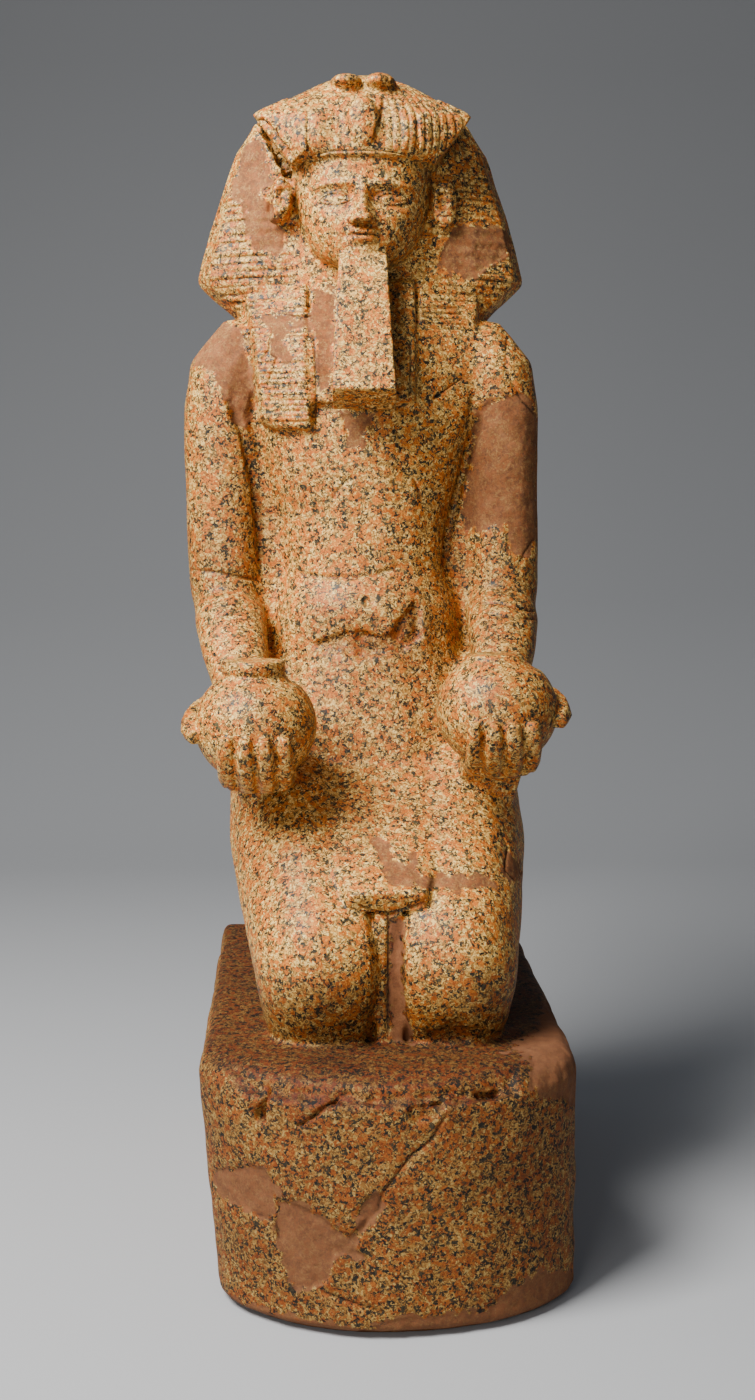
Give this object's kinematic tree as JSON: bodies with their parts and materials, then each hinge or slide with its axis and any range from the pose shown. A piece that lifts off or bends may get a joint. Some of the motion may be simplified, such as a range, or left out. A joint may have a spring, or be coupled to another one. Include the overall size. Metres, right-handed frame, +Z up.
{
  "type": "kneeling king statue",
  "caption": "Over life-size stone statue of a kneeling king in a striped headcloth with a long beard, holding round offering jars on the knees, carved in one with its base.",
  "frame": {"origin": "middle of the base's underside", "axes": "+Z up; the figure faces -Y, its own left hand is on +X"},
  "size_m": [0.8497, 1.37, 2.615],
  "materials": {
    "red_granite": "worn polish, coarse orange, cream and black grain, plaster fills"
  },
  "bodies": {
    "root": {"kneeling_king_statue": "red_granite"}
  },
  "joints": []
}
